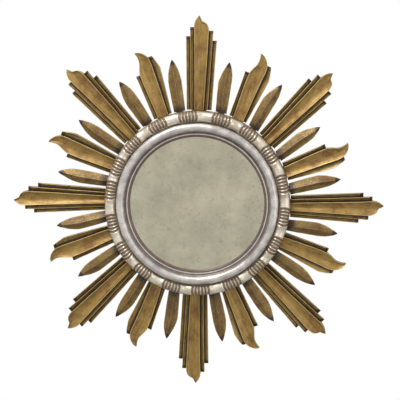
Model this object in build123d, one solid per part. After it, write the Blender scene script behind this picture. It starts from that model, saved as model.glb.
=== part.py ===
from build123d import *
import math
import os

# Carved and gilt sunburst wall mirror, in millimetres.
# +X is to the viewer's right, +Z is up and the glass looks along -Y.
# The origin is the middle of the wall plane behind the glass, and every depth
# below is a distance in front of that wall.

# Round glass and what holds it
SIGHT_RADIUS = 126.0            # glass that shows inside the frame
GLASS_MARGIN = 4.8              # glass hidden behind the lip of the frame
GLASS_PLAY = 0.8                # room around the glass in its rebate
GLASS_THICKNESS = 4.0
CARD_THICKNESS = 3.0            # packing card behind the glass
BOARD_THICKNESS = 3.0           # hardboard back

# Turned rings, from the wall forwards
PAD_THICKNESS = 4.0             # felt pads that hold the frame off the wall
HEEL_THICKNESS = 9.0            # the part of each ray that lies under the ring
CORE_THICKNESS = 9.0            # plain ring that carries rays, band and moulding
REBATE_HEIGHT = 6.0             # lip above the front of the plain ring
LEDGE_WIDTH = 11.9              # step behind the glass for the turn buttons
CORE_RADIUS = 174.5

# Silvered moulding next to the glass: edges from the outside inwards
MOULDING_RADIUS = 152.0
MOULDING_WALL = 11.0            # plain outer wall, hidden behind the band
CREST_INSET = 8.2               # outer wall to the top of the round
CREST_HEIGHT = 22.0             # top of the round above the plain ring
ROUND_FOOT_INSET = 15.8         # outer wall to the inner foot of the round
ROUND_FOOT_HEIGHT = 15.0
SLOPE_WIDTH = 2.4
SLOPE_FOOT_HEIGHT = 11.2
FILLET_WIDTH = 2.4              # flat fillet between its two quirks
FILLET_HEIGHT = 12.0
QUIRK_WIDTH = 0.9
QUIRK_DEPTH = 1.3
SIGHT_EDGE_HEIGHT = 8.6         # rounded bead at the glass, above the plain ring
BEAD_RISE = 0.9

# Carved band outside the moulding
BAND_GAP = 0.5                  # quirk between moulding and band
BAND_WALL = 9.5                 # straight outer wall below the round
BAND_CREST = 18.0               # top of the round above the plain ring
FLUTED_GROUPS = 18
FIRST_GROUP_ANGLE = 15.0
GROUP_DRIFT = (-0.3, 0.7, 0.0, 0.0, 1.7, 2.3, 3.3, 0.7, -3.2, -1.0, -1.3, -2.7, -1.3, -1.7, -0.3, -1.0, -2.0, -2.0)
PLAIN_LENGTH = 22.0             # plain hollow between two fluted groups
PLAIN_DIP = 1.8                 # how far the hollow sinks into the crest
SIDE_DIP = 1.2                  # how far it draws in the outer wall

# Rays: eight sets of one long ray, a leaf, a flame and another leaf
RAY_SETS = 8
LONG_AXIS = 89.5                # degrees, at the top
FLAME_AXIS = 66.3
LEAF_AXIS = 78.4
TWIN_AXIS = 55.8                # the second leaf of the set
ROOT_GAP = 0.7                  # blade to the edge of the plain ring
HEEL_GAP = 0.4                  # heel to the ledge step
LOBE_LAP = 1.5                  # how far one carved step runs under the next

# Long ray: a wide hollow blade with two lower hollow steps each side
LONG_REACH = 350.0              # glass centre to the point
LONG_SHOULDER = 316.0           # where the widths below are measured
LONG_ROOT_HALVES = (7.4, 13.9, 20.4)
LONG_SHOULDER_HALVES = (13.4, 21.3, 29.0)
LONG_HEIGHTS = (14.0, 10.5, 7.0)
LONG_DIPS = (3.2, 1.7, 1.5)
LONG_LEFT_ENDS = (328.4, 311.5)      # ends of the two steps, anticlockwise side
LONG_RIGHT_ENDS = (322.3, 304.2)     # and clockwise side
LONG_SHOULDER_SHIFT = -0.4
LONG_TIP_LENGTHS = (32.0, 23.0, 16.0, 9.0, 3.5, 0.0)      # back from the point
LONG_TIP_RIGHT = (-1.00, -0.92, -0.66, -0.10, 0.20, 0.34)   # share of the half width
LONG_TIP_LEFT = (1.00, 1.03, 1.00, 0.85, 0.66, 0.39)
LONG_TIP_HEIGHTS = (13.2, 12.8, 12.0, 10.6, 9.2, 8.0)
LONG_HEEL_WIDTH = 27.0
LONG_ROOT_SHIFTS = (1.0, -3.9, -1.3, -2.0, -0.5, -2.7, -1.7, 1.0)
LONG_ROOT_SPREADS = (1.14, 1.00, 1.00, 1.00, 1.16, 1.02, 1.00, 1.04)
LONG_LEANS = (0.1, -0.2, -0.1, -0.1, 0.0, 0.1, 0.1, 0.2)

# Flame ray: a hollow blade whose point curls anticlockwise, one step each side
FLAME_REACH = 303.2
FLAME_SHOULDER = 262.0
FLAME_ROOT_EDGES = (-17.2, -11.0, 3.0, 17.6)
FLAME_SHOULDER_EDGES = (-24.2, -11.5, 16.2, 24.0)
FLAME_STEP_KNEE = 262.0          # where the clockwise step starts to draw in
FLAME_STEP_END = 283.0
FLAME_STEP_END_WIDTH = 6.4
FLAME_HEIGHTS = (13.0, 8.5)
FLAME_DIPS = (3.4, 1.6)
FLAME_TIP_LENGTHS = (41.2, 29.2, 20.2, 11.2, 4.2, 0.0)
FLAME_TIP_RIGHT = (-0.83, -0.84, -0.78, -0.47, 0.06, 0.72)
FLAME_TIP_LEFT = (1.17, 0.92, 0.62, 0.60, 0.74, 0.86)
FLAME_TIP_HEIGHTS = (12.6, 12.0, 11.2, 10.2, 9.0, 8.0)
FLAME_HEEL_WIDTH = 22.0
FLAME_ROOT_SHIFTS = (-1.4, 0.1, 0.0, 0.0, -3.0, 0.0, 0.0, 3.0)
FLAME_LEANS = (-0.4, -0.5, 0.3, 0.4, -0.4, -0.1, 0.4, 0.3)

# Leaf rays: two flat facets that meet in a ridge; the twin is a little longer
LEAF_REACH = 270.2
TWIN_REACH = 272.2
LEAF_LENGTHS = (94.3, 65.0, 42.0, 25.0, 12.5, 4.5, 0.0)    # back from the point
LEAF_RIGHT = (-10.4, -12.2, -12.8, -11.2, -7.4, -3.6, -0.5)
LEAF_LEFT = (10.4, 11.6, 12.0, 9.6, 5.6, 2.6, 0.5)
TWIN_RIGHT = (-10.6, -10.9, -10.8, -9.2, -6.0, -2.9, -0.5)
TWIN_LEFT = (10.6, 13.0, 13.8, 11.2, 6.8, 3.2, 0.5)
LEAF_RIDGE_HEIGHTS = (10.5, 11.3, 11.6, 11.0, 9.6, 8.0, 7.0)
LEAF_EDGE_HEIGHTS = (5.0, 5.0, 5.0, 5.0, 5.2, 5.6, 6.2)
LEAF_BELLY = 2                   # which of the sections above is the widest
LEAF_HEEL_WIDTH = 13.0
LEAF_ROOT_SHIFTS = (-5.5, -5.5, -4.6, -2.5, -6.0, -4.0, -3.0, -1.7)
TWIN_ROOT_SHIFTS = (-4.0, -2.5, 1.0, 0.5, -2.0, -2.5, 0.5, 2.5)
LEAF_LEANS = (-0.2, -0.4, 0.2, 0.1, -0.2, -0.3, 0.3, 0.4)
TWIN_LEANS = (-0.2, -0.3, 0.1, 0.2, -0.2, -0.2, 0.4, 0.3)

# Screws through the heels into the plain ring
RAY_SCREW_RADIUS = 1.75
RAY_SCREW_HEAD_RADIUS = 3.5
RAY_SCREW_HEAD_HEIGHT = 1.9
RAY_SCREW_LENGTH = 16.0
RAY_SCREW_CIRCLE = 160.0
LONG_SCREW_SPREAD = 9.5          # each of the pair off the middle of a long ray
SCREW_PLAY = 0.15

# Turn buttons over the back board
BUTTON_ANGLES = (0.0, 90.0, 180.0, 270.0)
BUTTON_THICKNESS = 1.5
BUTTON_HALF_WIDTH = 4.5
BUTTON_NOSE = 14.5               # pivot to the centre of the rounded nose
BUTTON_INSET = 6.2               # pivot outside the rebate wall
BUTTON_PLAY = 0.06
BUTTON_SCREW_RADIUS = 1.5
BUTTON_SCREW_HEAD_RADIUS = 3.0
BUTTON_SCREW_HEAD_HEIGHT = 1.4
BUTTON_SCREW_LENGTH = 9.0

# Hanger: a steel strap with a rolled eye and a loose wire ring
STRAP_THICKNESS = 0.8
STRAP_WIDTH = 10.0
STRAP_LENGTH = 30.0              # pivot to the foot of the strap
STRAP_PIVOT_HEIGHT = 176.0
WIRE_RADIUS = 1.0
WIRE_PLAY = 0.08
RING_HALF_WIDTH = 8.0            # to the middle of the wire
RING_CORNER = 2.0
RING_SIDE = 4.0
STRAP_SCREW_PLACES = (19.0, 26.0)    # below the pivot
STRAP_SCREW_RADIUS = 1.4
STRAP_SCREW_HEAD_RADIUS = 2.8
STRAP_SCREW_HEAD_HEIGHT = 1.2
STRAP_SCREW_LENGTH = 9.0

# Felt pads on the backs of the four slanting long rays
PAD_RADIUS = 8.0
PAD_CIRCLE = 240.0
PAD_RAYS = (1, 3, 5, 7)

# Depths worked out from the sizes above
ray_back = PAD_THICKNESS
heel_top = ray_back + HEEL_THICKNESS
core_front = heel_top + CORE_THICKNESS
lip_back = core_front + REBATE_HEIGHT
glass_back = lip_back - GLASS_THICKNESS
card_back = glass_back - CARD_THICKNESS
board_back = card_back - BOARD_THICKNESS
glass_radius = SIGHT_RADIUS + GLASS_MARGIN
rebate_radius = glass_radius + GLASS_PLAY
ledge_radius = rebate_radius + LEDGE_WIDTH
heel_start = ledge_radius + HEEL_GAP
root_radius = CORE_RADIUS + ROOT_GAP
band_inner = MOULDING_RADIUS + BAND_GAP
button_pivot = rebate_radius + BUTTON_INSET
ring_pivot_depth = ray_back - STRAP_THICKNESS - WIRE_PLAY - WIRE_RADIUS


def share(start, end, part):
    """A value that lies the given part of the way from start to end."""
    return start + (end - start) * part


def turned(points):
    """A ring turned about the depth axis from an outline of (radius, depth) edges."""
    profile = make_face(points)
    return revolve(profile, axis=Axis.Y)


def at_depth(radius, depth):
    """A point of a turned outline."""
    return (radius, -depth)


def straight_outline(corners):
    """Straight edges through (radius, depth) corners, closed at the end."""
    return Polyline(*[at_depth(r, d) for r, d in corners], close=True)


def disc(radius, back, thickness):
    """A flat round plate facing the viewer."""
    outline = straight_outline([(0, back), (radius, back), (radius, back + thickness), (0, back + thickness)])
    return turned(outline)


def wall_frame(angle, depth=0.0):
    """The carver's frame of a ray: X outwards, Y anticlockwise, Z towards the viewer."""
    turn = math.radians(angle)
    return Plane(
        origin=(0, -depth, 0),
        x_dir=(math.cos(turn), 0, math.sin(turn)),
        z_dir=(0, -1, 0),
    )


def countersunk_screw(head_radius, head_height, radius, length, play=0.0):
    """A flat-headed wood screw, or with play the hole that it needs."""
    head = Cone(
        head_radius + play,
        radius + play,
        head_height,
        align=(Align.CENTER, Align.CENTER, Align.MIN),
    )
    shank = Cylinder(radius + play, length, align=(Align.CENTER, Align.CENTER, Align.MIN))
    return head + shank


def domed_screw(head_radius, head_height, radius, length):
    """A round-headed screw; its head stands behind the face that it holds."""
    head = Cylinder(head_radius, head_height, align=(Align.CENTER, Align.CENTER, Align.MAX))
    head = fillet(head.edges().filter_by(GeomType.CIRCLE).sort_by(Axis.Z)[0], head_height * 0.7)
    shank = Cylinder(radius, length, align=(Align.CENTER, Align.CENTER, Align.MIN))
    return head + shank


def hollow_section(reach, right, left, height, dip):
    """One carved step cut across the ray: straight sides and a hollowed top."""
    foot_right = (reach, right, 0)
    top_right = (reach, right, height)
    bottom_of_hollow = (reach, (right + left) / 2, height - dip)
    top_left = (reach, left, height)
    foot_left = (reach, left, 0)
    outline = [
        Line(foot_right, top_right),
        ThreePointArc(top_right, bottom_of_hollow, top_left),
        Line(top_left, foot_left),
        Line(foot_left, foot_right),
    ]
    return make_face(outline)


def ridged_section(reach, right, left, edge_height, ridge_height):
    """A leaf cut across: two facets that rise from the edges to a ridge."""
    corners = [
        (reach, right, 0),
        (reach, right, edge_height),
        (reach, (right + left) / 2, ridge_height),
        (reach, left, edge_height),
        (reach, left, 0),
    ]
    return make_face(Polyline(*corners, close=True))


def heel(width, middle, screw_places):
    """The flat tongue that lies under the plain ring, with its screw holes."""
    length = root_radius + LOBE_LAP - heel_start
    tongue = Pos(heel_start + length / 2, middle, HEEL_THICKNESS / 2) * Box(length, width, HEEL_THICKNESS)
    hole = countersunk_screw(
        RAY_SCREW_HEAD_RADIUS,
        RAY_SCREW_HEAD_HEIGHT,
        RAY_SCREW_RADIUS,
        RAY_SCREW_LENGTH,
        SCREW_PLAY,
    )
    for place in screw_places:
        tongue -= Pos(RAY_SCREW_CIRCLE, place, 0) * hole
    return tongue


def long_ray(root_shift, root_spread):
    """Blade, four steps and heel of one long ray, in the carver's frame."""

    def edge(which, side, reach):
        part = (reach - root_radius) / (LONG_SHOULDER - root_radius)
        root = root_shift + side * LONG_ROOT_HALVES[which] * root_spread
        shoulder = LONG_SHOULDER_SHIFT + side * LONG_SHOULDER_HALVES[which]
        return share(root, shoulder, part)

    tip_start = LONG_REACH - LONG_TIP_LENGTHS[0]
    shaft = [
        hollow_section(reach, edge(0, -1, reach), edge(0, 1, reach), height, LONG_DIPS[0])
        for reach, height in ((root_radius, LONG_HEIGHTS[0]), (tip_start, LONG_TIP_HEIGHTS[0]))
    ]
    tip = []
    half = LONG_SHOULDER_HALVES[0]
    for back, right, left, height in zip(LONG_TIP_LENGTHS, LONG_TIP_RIGHT, LONG_TIP_LEFT, LONG_TIP_HEIGHTS):
        width = (left - right) * half
        dip = LONG_DIPS[0] * width / (2 * half)
        right_edge = LONG_SHOULDER_SHIFT + right * half
        left_edge = LONG_SHOULDER_SHIFT + left * half
        if back == LONG_TIP_LENGTHS[0]:
            right_edge = edge(0, -1, tip_start)
            left_edge = edge(0, 1, tip_start)
        tip.append(hollow_section(LONG_REACH - back, right_edge, left_edge, height, dip))
    ray = loft(shaft, ruled=True) + loft(tip)
    for side, ends in ((1, LONG_LEFT_ENDS), (-1, LONG_RIGHT_ENDS)):
        for step, end in zip((1, 2), ends):
            sections = []
            for reach in (root_radius, end):
                inner = edge(step - 1, side, reach) - side * LOBE_LAP
                outer = edge(step, side, reach)
                low, high = sorted((inner, outer))
                sections.append(hollow_section(reach, low, high, LONG_HEIGHTS[step], LONG_DIPS[step]))
            ray += loft(sections, ruled=True)
    middle = root_shift
    screws = (middle - LONG_SCREW_SPREAD, middle + LONG_SCREW_SPREAD)
    return ray + heel(LONG_HEEL_WIDTH, middle, screws)


def flame_ray(root_shift):
    """Curled blade, a step each side and heel of one flame, in the carver's frame."""

    def edge(which, reach):
        part = (reach - root_radius) / (FLAME_SHOULDER - root_radius)
        return share(FLAME_ROOT_EDGES[which] + root_shift, FLAME_SHOULDER_EDGES[which], part)

    tip_start = FLAME_REACH - FLAME_TIP_LENGTHS[0]
    shaft = [
        hollow_section(reach, edge(1, reach), edge(2, reach), height, FLAME_DIPS[0])
        for reach, height in ((root_radius, FLAME_HEIGHTS[0]), (tip_start, FLAME_TIP_HEIGHTS[0]))
    ]
    half = (FLAME_SHOULDER_EDGES[2] - FLAME_SHOULDER_EDGES[1]) / 2
    tip = []
    for back, right, left, height in zip(FLAME_TIP_LENGTHS, FLAME_TIP_RIGHT, FLAME_TIP_LEFT, FLAME_TIP_HEIGHTS):
        right_edge = right * half
        left_edge = left * half
        if back == FLAME_TIP_LENGTHS[0]:
            right_edge = edge(1, tip_start)
            left_edge = edge(2, tip_start)
        dip = FLAME_DIPS[0] * (left_edge - right_edge) / (2 * half)
        tip.append(hollow_section(FLAME_REACH - back, right_edge, left_edge, height, dip))
    ray = loft(shaft, ruled=True) + loft(tip)
    left_step = [
        hollow_section(reach, edge(2, reach) - LOBE_LAP, edge(3, reach), FLAME_HEIGHTS[1], FLAME_DIPS[1])
        for reach in (root_radius, FLAME_SHOULDER)
    ]
    ray += loft(left_step, ruled=True)
    inner = edge(1, FLAME_STEP_KNEE) + LOBE_LAP
    right_step = [
        hollow_section(reach, low, high, FLAME_HEIGHTS[1], FLAME_DIPS[1])
        for reach, low, high in (
            (root_radius, edge(0, root_radius), edge(1, root_radius) + LOBE_LAP),
            (FLAME_STEP_KNEE, edge(0, FLAME_STEP_KNEE), inner),
            (FLAME_STEP_END, inner - LOBE_LAP - FLAME_STEP_END_WIDTH, inner),
        )
    ]
    ray += loft(right_step, ruled=True)
    return ray + heel(FLAME_HEEL_WIDTH, root_shift, (root_shift,))


def leaf_ray(reach, right_edges, left_edges, root_shift):
    """Ridged leaf and heel, in the carver's frame; its root leans off the axis."""
    sections = []
    belly = LEAF_LENGTHS[LEAF_BELLY]
    for back, right, left, edge_height, ridge_height in zip(
        LEAF_LENGTHS, right_edges, left_edges, LEAF_EDGE_HEIGHTS, LEAF_RIDGE_HEIGHTS
    ):
        place = reach - back
        if back == LEAF_LENGTHS[0]:
            place = root_radius
        shift = root_shift * max(0.0, back - belly) / (LEAF_LENGTHS[0] - belly)
        sections.append(ridged_section(place, right + shift, left + shift, edge_height, ridge_height))
    blade = loft(sections[: LEAF_BELLY + 1], ruled=True) + loft(sections[LEAF_BELLY:])
    return blade + heel(LEAF_HEEL_WIDTH, root_shift, (root_shift,))


def pilot_holes(frames, radius, length):
    """One blind hole along each screw, from its seat inwards."""
    hole = Cylinder(radius, length, align=(Align.CENTER, Align.CENTER, Align.MIN))
    return [frame * hole for frame in frames]


def core_ring():
    """The plain turned ring behind everything, before its screw holes."""
    outline = straight_outline(
        [
            (rebate_radius, board_back),
            (ledge_radius, board_back),
            (ledge_radius, heel_top),
            (CORE_RADIUS, heel_top),
            (CORE_RADIUS, core_front),
            (rebate_radius, core_front),
        ]
    )
    return turned(outline)


def sight_moulding():
    """The turned moulding round the glass: a big round, a slope, a fillet and a bead."""
    round_foot = MOULDING_RADIUS - ROUND_FOOT_INSET
    slope_foot = round_foot - SLOPE_WIDTH
    fillet_outer = slope_foot - QUIRK_WIDTH
    fillet_inner = fillet_outer - FILLET_WIDTH
    bead_outer = fillet_inner - QUIRK_WIDTH
    bead_foot = FILLET_HEIGHT - QUIRK_DEPTH
    bead_middle = (bead_outer + SIGHT_RADIUS) / 2
    bead_top = (bead_foot + SIGHT_EDGE_HEIGHT) / 2 + BEAD_RISE

    def point(radius, height):
        return at_depth(radius, core_front + height)

    edges = [
        Line(point(rebate_radius, 0), point(MOULDING_RADIUS, 0)),
        Line(point(MOULDING_RADIUS, 0), point(MOULDING_RADIUS, MOULDING_WALL)),
        ThreePointArc(
            point(MOULDING_RADIUS, MOULDING_WALL),
            point(MOULDING_RADIUS - CREST_INSET, CREST_HEIGHT),
            point(round_foot, ROUND_FOOT_HEIGHT),
        ),
        Polyline(
            point(round_foot, ROUND_FOOT_HEIGHT),
            point(slope_foot, SLOPE_FOOT_HEIGHT),
            point(slope_foot, FILLET_HEIGHT - QUIRK_DEPTH),
            point(fillet_outer, FILLET_HEIGHT - QUIRK_DEPTH),
            point(fillet_outer, FILLET_HEIGHT),
            point(fillet_inner, FILLET_HEIGHT),
            point(fillet_inner, bead_foot),
            point(bead_outer, bead_foot),
        ),
        ThreePointArc(
            point(bead_outer, bead_foot),
            point(bead_middle, bead_top),
            point(SIGHT_RADIUS, SIGHT_EDGE_HEIGHT),
        ),
        Polyline(
            point(SIGHT_RADIUS, SIGHT_EDGE_HEIGHT),
            point(SIGHT_RADIUS, REBATE_HEIGHT),
            point(rebate_radius, REBATE_HEIGHT),
            point(rebate_radius, 0),
        ),
    ]
    return turned(edges)


def carved_band():
    """The half-round band, drawn in by a shallow hollow between its fluted groups."""
    middle = (band_inner + CORE_RADIUS) / 2

    def point(radius, height):
        return at_depth(radius, core_front + height)

    edges = [
        Line(point(band_inner, 0), point(CORE_RADIUS, 0)),
        Line(point(CORE_RADIUS, 0), point(CORE_RADIUS, BAND_WALL)),
        ThreePointArc(point(CORE_RADIUS, BAND_WALL), point(middle, BAND_CREST), point(band_inner, BAND_WALL)),
        Line(point(band_inner, BAND_WALL), point(band_inner, 0)),
    ]
    band = turned(edges)
    half = PLAIN_LENGTH / 2
    crest_cutter_radius = (half**2 + PLAIN_DIP**2) / (2 * PLAIN_DIP)
    side_cutter_radius = (half**2 + SIDE_DIP**2) / (2 * SIDE_DIP)
    pitch = 360 / FLUTED_GROUPS
    cutters = []
    for group in range(FLUTED_GROUPS):
        here = FIRST_GROUP_ANGLE + pitch * group + GROUP_DRIFT[group % len(GROUP_DRIFT)]
        after = FIRST_GROUP_ANGLE + pitch * (group + 1) + GROUP_DRIFT[(group + 1) % len(GROUP_DRIFT)]
        frame = wall_frame((here + after) / 2, core_front)
        crest_cutter = Cylinder(crest_cutter_radius, 2 * (CORE_RADIUS - band_inner), rotation=(0, 90, 0))
        cutters.append(frame * Pos(middle, 0, BAND_CREST - PLAIN_DIP + crest_cutter_radius) * crest_cutter)
        side_cutter = Cylinder(side_cutter_radius, 4 * BAND_CREST)
        cutters.append(frame * Pos(CORE_RADIUS - SIDE_DIP + side_cutter_radius, 0, 0) * side_cutter)
    return band - cutters


def turn_button():
    """A flat button with a rounded nose, seen from its pivot; the nose points inwards."""
    nose = Pos(-BUTTON_NOSE, 0, 0) * Circle(BUTTON_HALF_WIDTH)
    tail = Circle(BUTTON_HALF_WIDTH)
    waist = Pos(-BUTTON_NOSE / 2, 0, 0) * Rectangle(BUTTON_NOSE, 2 * BUTTON_HALF_WIDTH)
    hole = Circle(BUTTON_SCREW_RADIUS + BUTTON_PLAY)
    blank = extrude(nose + tail + waist - hole, BUTTON_THICKNESS)
    return Pos(button_pivot, 0, -BUTTON_PLAY - BUTTON_THICKNESS) * blank


def hanger_strap():
    """The strap folded over the wire: an eye above a flat foot with two holes."""
    eye_outer = WIRE_RADIUS + WIRE_PLAY + STRAP_THICKNESS
    eye = Cylinder(eye_outer, STRAP_WIDTH, rotation=(0, 90, 0))
    foot_height = STRAP_LENGTH
    foot = Pos(0, 0, -foot_height / 2) * Box(STRAP_WIDTH, STRAP_THICKNESS, foot_height)
    foot = Pos(0, -(eye_outer - STRAP_THICKNESS / 2), 0) * foot
    strap = eye + foot
    strap -= Cylinder(WIRE_RADIUS + WIRE_PLAY, 2 * STRAP_WIDTH, rotation=(0, 90, 0))
    for place in STRAP_SCREW_PLACES:
        hole = Cylinder(STRAP_SCREW_RADIUS + SCREW_PLAY, 4 * STRAP_THICKNESS, rotation=(90, 0, 0))
        strap -= Pos(0, -(eye_outer - STRAP_THICKNESS / 2), -place) * hole
    return Pos(0, -ring_pivot_depth, STRAP_PIVOT_HEIGHT) * strap


def hanging_ring():
    """The loose wire ring, hanging down from the eye of the strap."""
    bar = RING_HALF_WIDTH - RING_CORNER
    side_end = -RING_CORNER - RING_SIDE
    drop = side_end - RING_HALF_WIDTH
    corner_mid = RING_CORNER * (1 - math.sin(math.radians(45)))
    path = [
        Line((-bar, 0, 0), (bar, 0, 0)),
        ThreePointArc(
            (bar, 0, 0),
            (RING_HALF_WIDTH - corner_mid, 0, -corner_mid),
            (RING_HALF_WIDTH, 0, -RING_CORNER),
        ),
        Line((RING_HALF_WIDTH, 0, -RING_CORNER), (RING_HALF_WIDTH, 0, side_end)),
        ThreePointArc((RING_HALF_WIDTH, 0, side_end), (0, 0, drop), (-RING_HALF_WIDTH, 0, side_end)),
        Line((-RING_HALF_WIDTH, 0, side_end), (-RING_HALF_WIDTH, 0, -RING_CORNER)),
        ThreePointArc(
            (-RING_HALF_WIDTH, 0, -RING_CORNER),
            (-RING_HALF_WIDTH + corner_mid, 0, -corner_mid),
            (-bar, 0, 0),
        ),
    ]
    wire_section = Plane(origin=(0, 0, 0), z_dir=(1, 0, 0)) * Circle(WIRE_RADIUS)
    ring = sweep(Pos(-bar, 0, 0) * wire_section, path=Wire(path))
    return Pos(0, -ring_pivot_depth, STRAP_PIVOT_HEIGHT) * ring


def save(name, shape):
    """Write one node under the name that it keeps."""
    shape.label = name
    export_step(shape, f"parts/{name}.step")


os.makedirs("parts", exist_ok=True)
step_angle = 360 / RAY_SETS
screw_frames = []
strap_frames = [
    wall_frame(0, ray_back - STRAP_THICKNESS) * Pos(0, STRAP_PIVOT_HEIGHT - place, 0)
    for place in STRAP_SCREW_PLACES
]
strap_pilots = pilot_holes(strap_frames, STRAP_SCREW_RADIUS + SCREW_PLAY, STRAP_SCREW_LENGTH + SCREW_PLAY)

for number in range(RAY_SETS):
    turn = step_angle * number
    long_frame = wall_frame(LONG_AXIS - turn + LONG_LEANS[number], ray_back)
    ray = long_frame * long_ray(LONG_ROOT_SHIFTS[number], LONG_ROOT_SPREADS[number])
    if number == 0:
        ray -= strap_pilots
    save(f"long_ray_{number + 1}", ray)
    for side in (-1, 1):
        place = LONG_ROOT_SHIFTS[number] + side * LONG_SCREW_SPREAD
        screw_frames.append(long_frame * Pos(RAY_SCREW_CIRCLE, place, 0))
    flame_frame = wall_frame(FLAME_AXIS - turn + FLAME_LEANS[number], ray_back)
    save(f"flame_ray_{number + 1}", flame_frame * flame_ray(FLAME_ROOT_SHIFTS[number]))
    screw_frames.append(flame_frame * Pos(RAY_SCREW_CIRCLE, FLAME_ROOT_SHIFTS[number], 0))
    for name, axis, reach, right, left, shifts, leans in (
        ("leaf_ray", LEAF_AXIS, LEAF_REACH, LEAF_RIGHT, LEAF_LEFT, LEAF_ROOT_SHIFTS, LEAF_LEANS),
        ("twin_leaf_ray", TWIN_AXIS, TWIN_REACH, TWIN_RIGHT, TWIN_LEFT, TWIN_ROOT_SHIFTS, TWIN_LEANS),
    ):
        leaf_frame = wall_frame(axis - turn + leans[number], ray_back)
        save(f"{name}_{number + 1}", leaf_frame * leaf_ray(reach, right, left, shifts[number]))
        screw_frames.append(leaf_frame * Pos(RAY_SCREW_CIRCLE, shifts[number], 0))

ray_screw = countersunk_screw(RAY_SCREW_HEAD_RADIUS, RAY_SCREW_HEAD_HEIGHT, RAY_SCREW_RADIUS, RAY_SCREW_LENGTH)
save("ray_screws", Compound([frame * ray_screw for frame in screw_frames]))

button_seat = -BUTTON_THICKNESS - 2 * BUTTON_PLAY
button_frames = [wall_frame(angle, board_back) * Pos(button_pivot, 0, button_seat) for angle in BUTTON_ANGLES]
ray_pilots = pilot_holes(screw_frames, RAY_SCREW_RADIUS + SCREW_PLAY, RAY_SCREW_LENGTH + SCREW_PLAY)
button_pilots = pilot_holes(
    button_frames, BUTTON_SCREW_RADIUS + BUTTON_PLAY, BUTTON_SCREW_LENGTH + SCREW_PLAY
)
save("core_ring", core_ring() - ray_pilots - button_pilots)
save("sight_moulding", sight_moulding() - button_pilots)
save("carved_band", carved_band())
save("mirror_plate", disc(glass_radius, glass_back, GLASS_THICKNESS))
save("packing_card", disc(glass_radius, card_back, CARD_THICKNESS))
save("back_board", disc(glass_radius, board_back, BOARD_THICKNESS))

button_screw = domed_screw(
    BUTTON_SCREW_HEAD_RADIUS, BUTTON_SCREW_HEAD_HEIGHT, BUTTON_SCREW_RADIUS, BUTTON_SCREW_LENGTH
)
save("button_screws", Compound([frame * button_screw for frame in button_frames]))
for number, angle in enumerate(BUTTON_ANGLES):
    save(f"turn_button_{number + 1}", wall_frame(angle, board_back) * turn_button())

save("hanger_strap", hanger_strap())
save("hanging_ring", hanging_ring())
strap_screw = domed_screw(
    STRAP_SCREW_HEAD_RADIUS, STRAP_SCREW_HEAD_HEIGHT, STRAP_SCREW_RADIUS, STRAP_SCREW_LENGTH
)
save("strap_screws", Compound([frame * strap_screw for frame in strap_frames]))

pad = Cylinder(PAD_RADIUS, PAD_THICKNESS, align=(Align.CENTER, Align.CENTER, Align.MIN))
save(
    "wall_pads",
    Compound(
        [
            wall_frame(LONG_AXIS - step_angle * number + LONG_LEANS[number]) * Pos(PAD_CIRCLE, 0, 0) * pad
            for number in PAD_RAYS
        ]
    ),
)
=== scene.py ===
# %% [markdown]
# # A carved and gilded sunburst mirror
#
# The real mirror is a plain wooden ring that carries thirty-two carved rays on its back and two
# turned rings on its front: a band with gouge cuts, and a silvered moulding that holds the glass.
# The measured solids come in as a fixed frame. This lesson dresses them: the carved wood is
# modelled again with its hollows, arrises and tool marks, and every other piece gets a finish.

# %% Open the measured solids
import math

import bmesh
import bpy
import numpy as np
from mathutils import Matrix, Vector, noise


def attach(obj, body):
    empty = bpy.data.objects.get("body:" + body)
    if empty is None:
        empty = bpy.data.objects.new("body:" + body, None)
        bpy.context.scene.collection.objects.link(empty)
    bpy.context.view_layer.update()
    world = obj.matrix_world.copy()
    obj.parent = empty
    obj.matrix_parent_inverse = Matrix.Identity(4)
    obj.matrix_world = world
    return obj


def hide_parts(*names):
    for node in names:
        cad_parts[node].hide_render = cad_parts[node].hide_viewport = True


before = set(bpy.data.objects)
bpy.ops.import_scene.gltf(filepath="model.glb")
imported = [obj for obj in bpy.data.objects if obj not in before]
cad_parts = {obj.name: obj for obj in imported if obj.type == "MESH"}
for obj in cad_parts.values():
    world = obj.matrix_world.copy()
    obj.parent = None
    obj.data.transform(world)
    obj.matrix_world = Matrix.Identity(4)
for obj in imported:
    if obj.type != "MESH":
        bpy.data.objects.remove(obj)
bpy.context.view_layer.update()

# %% [markdown]
# ## Sizes that everything shares
#
# A carver works in millimetres, from the middle of the glass outwards and from the wall
# forwards. Blender works in metres, so the sizes stay in millimetres until a point is placed.

# %% Sizes in millimetres
MM = 0.001
RAY_BACK = 4.0              # felt pads hold the rays this far off the wall
HEEL_START = 143.9          # the tongue of each ray, under the plain ring
HEEL_THICKNESS = 9.0
ROOT = 175.2                # where the carved part of a ray starts
SEAT = 22.0                 # front of the plain ring, in front of the wall
SIGHT = 126.0               # glass that shows
RAY_SETS = 8
STEP_ANGLE = 360 / RAY_SETS


def on_wall(angle, reach, side, height):
    """A point of a ray's own frame, in metres: reach outwards, side anticlockwise."""
    turn = math.radians(angle)
    return Vector((
        (reach * math.cos(turn) - side * math.sin(turn)) * MM,
        -(RAY_BACK + height) * MM,
        (reach * math.sin(turn) + side * math.cos(turn)) * MM,
    ))


print("The tip of a long ray would stand at", tuple(on_wall(89.5, 350.0, 4.7, 8.0)))

# %% [markdown]
# ## Smooth lines through a few points
#
# The outline of a carved tip is a few points that the carver marks and then joins by eye. The
# same is done here with a cubic line that never swings past its points, so a curl stays a curl.

# %% A line that never overshoots


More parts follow.
